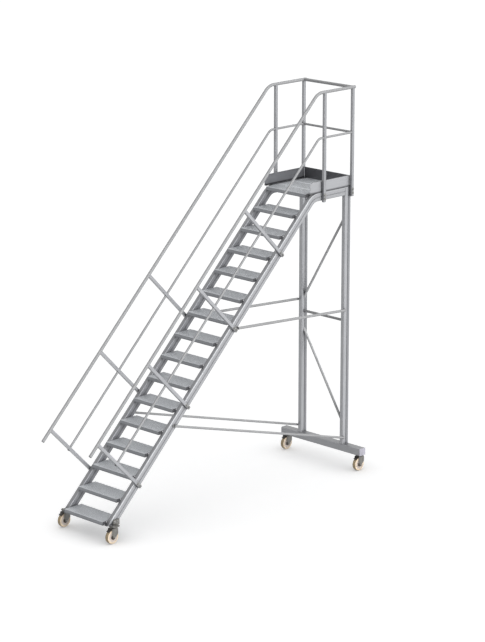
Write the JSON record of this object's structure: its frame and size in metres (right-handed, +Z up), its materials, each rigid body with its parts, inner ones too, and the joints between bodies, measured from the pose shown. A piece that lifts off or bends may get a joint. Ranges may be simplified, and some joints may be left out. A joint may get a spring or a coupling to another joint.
{
  "type": "mobile platform ladder",
  "caption": "Aluminium mobile platform stair: ribbed treads between bent stringers, guarded platform on two braced rear legs, and swivel castors under the feet and the wide rear beam.",
  "frame": {"origin": "On the floor, on the mid plane, halfway along the overall length.", "axes": "X runs up the stair, Y to the left of a climber, Z up."},
  "size_m": [3.9667, 1.218, 4.3505],
  "materials": {
    "frame_aluminium": "mill finish extrusion",
    "tread_aluminium": "ribbed mill finish",
    "tube_aluminium": "drawn tube, satin",
    "galvanised_steel": "zinc plated",
    "end_cap": "moulded cap",
    "dark_plastic": "moulded pedal",
    "tyre": "tan polyurethane",
    "wheel_plastic": "moulded wheel centre"
  },
  "bodies": {
    "frame": {"brace_lower_left": "frame_aluminium", "brace_lower_right": "frame_aluminium", "brace_upper_left": "frame_aluminium", "brace_upper_right": "frame_aluminium", "castor_front_left_plate": "galvanised_steel", "castor_front_right_plate": "galvanised_steel", "castor_rear_left_plate": "galvanised_steel", "castor_rear_right_plate": "galvanised_steel", "foot_bracket_left": "galvanised_steel", "foot_bracket_right": "galvanised_steel", "guard_post_back_left": "frame_aluminium", "guard_post_back_right": "frame_aluminium", "guard_post_front_left": "frame_aluminium", "guard_post_front_right": "frame_aluminium", "handrail_back": "tube_aluminium", "handrail_left": "tube_aluminium", "handrail_right": "tube_aluminium", "knee_rail_back": "tube_aluminium", "knee_rail_left": "tube_aluminium", "knee_rail_right": "tube_aluminium", "leg_cross_bar": "frame_aluminium", "leg_diagonal_lower": "frame_aluminium", "leg_diagonal_upper": "frame_aluminium", "leg_left": "frame_aluminium", "leg_right": "frame_aluminium", "platform_deck": "tread_aluminium", "rear_beam": "frame_aluminium", "rear_beam_cap_left": "end_cap", "rear_beam_cap_right": "end_cap", "stair_post_left_1": "frame_aluminium", "stair_post_left_2": "frame_aluminium", "stair_post_left_3": "frame_aluminium", "stair_post_right_1": "frame_aluminium", "stair_post_right_2": "frame_aluminium", "stair_post_right_3": "frame_aluminium", "stair_post_right_4": "frame_aluminium", "stringer_left": "frame_aluminium", "stringer_right": "frame_aluminium", "toeboard_back": "frame_aluminium", "toeboard_left": "frame_aluminium", "toeboard_right": "frame_aluminium", "treads": "tread_aluminium"},
    "castor_front_left_swivel": {"castor_front_left_fork": "galvanised_steel", "castor_front_left_pedal": "dark_plastic"},
    "castor_front_left_wheel": {"castor_front_left_rim": "wheel_plastic", "castor_front_left_tyre": "tyre"},
    "castor_front_right_swivel": {"castor_front_right_fork": "galvanised_steel", "castor_front_right_pedal": "dark_plastic"},
    "castor_front_right_wheel": {"castor_front_right_rim": "wheel_plastic", "castor_front_right_tyre": "tyre"},
    "castor_rear_left_swivel": {"castor_rear_left_fork": "galvanised_steel", "castor_rear_left_pedal": "dark_plastic"},
    "castor_rear_left_wheel": {"castor_rear_left_rim": "wheel_plastic", "castor_rear_left_tyre": "tyre"},
    "castor_rear_right_swivel": {"castor_rear_right_fork": "galvanised_steel", "castor_rear_right_pedal": "dark_plastic"},
    "castor_rear_right_wheel": {"castor_rear_right_rim": "wheel_plastic", "castor_rear_right_tyre": "tyre"}
  },
  "joints": [
    {"name": "castor_front_left_swivel_turn", "type": "hinge", "parent": "frame", "child": "castor_front_left_swivel", "pos_m": [-1.65663, 0.372, 0.167], "axis": [0, 0, 1], "continuous": true},
    {"name": "castor_front_left_wheel_spin", "type": "hinge", "parent": "castor_front_left_swivel", "child": "castor_front_left_wheel", "pos_m": [-1.69263, 0.372, 0.075], "axis": [0, 1, 0], "continuous": true},
    {"name": "castor_front_right_swivel_turn", "type": "hinge", "parent": "frame", "child": "castor_front_right_swivel", "pos_m": [-1.65663, -0.372, 0.167], "axis": [0, 0, 1], "continuous": true},
    {"name": "castor_front_right_wheel_spin", "type": "hinge", "parent": "castor_front_right_swivel", "child": "castor_front_right_wheel", "pos_m": [-1.69263, -0.372, 0.075], "axis": [0, 1, 0], "continuous": true},
    {"name": "castor_rear_left_swivel_turn", "type": "hinge", "parent": "frame", "child": "castor_rear_left_swivel", "pos_m": [1.93287, 0.56, 0.167], "axis": [0, 0, 1], "continuous": true},
    {"name": "castor_rear_left_wheel_spin", "type": "hinge", "parent": "castor_rear_left_swivel", "child": "castor_rear_left_wheel", "pos_m": [1.89687, 0.56, 0.075], "axis": [0, 1, 0], "continuous": true},
    {"name": "castor_rear_right_swivel_turn", "type": "hinge", "parent": "frame", "child": "castor_rear_right_swivel", "pos_m": [1.93287, -0.56, 0.167], "axis": [0, 0, 1], "continuous": true},
    {"name": "castor_rear_right_wheel_spin", "type": "hinge", "parent": "castor_rear_right_swivel", "child": "castor_rear_right_wheel", "pos_m": [1.89687, -0.56, 0.075], "axis": [0, 1, 0], "continuous": true}
  ]
}
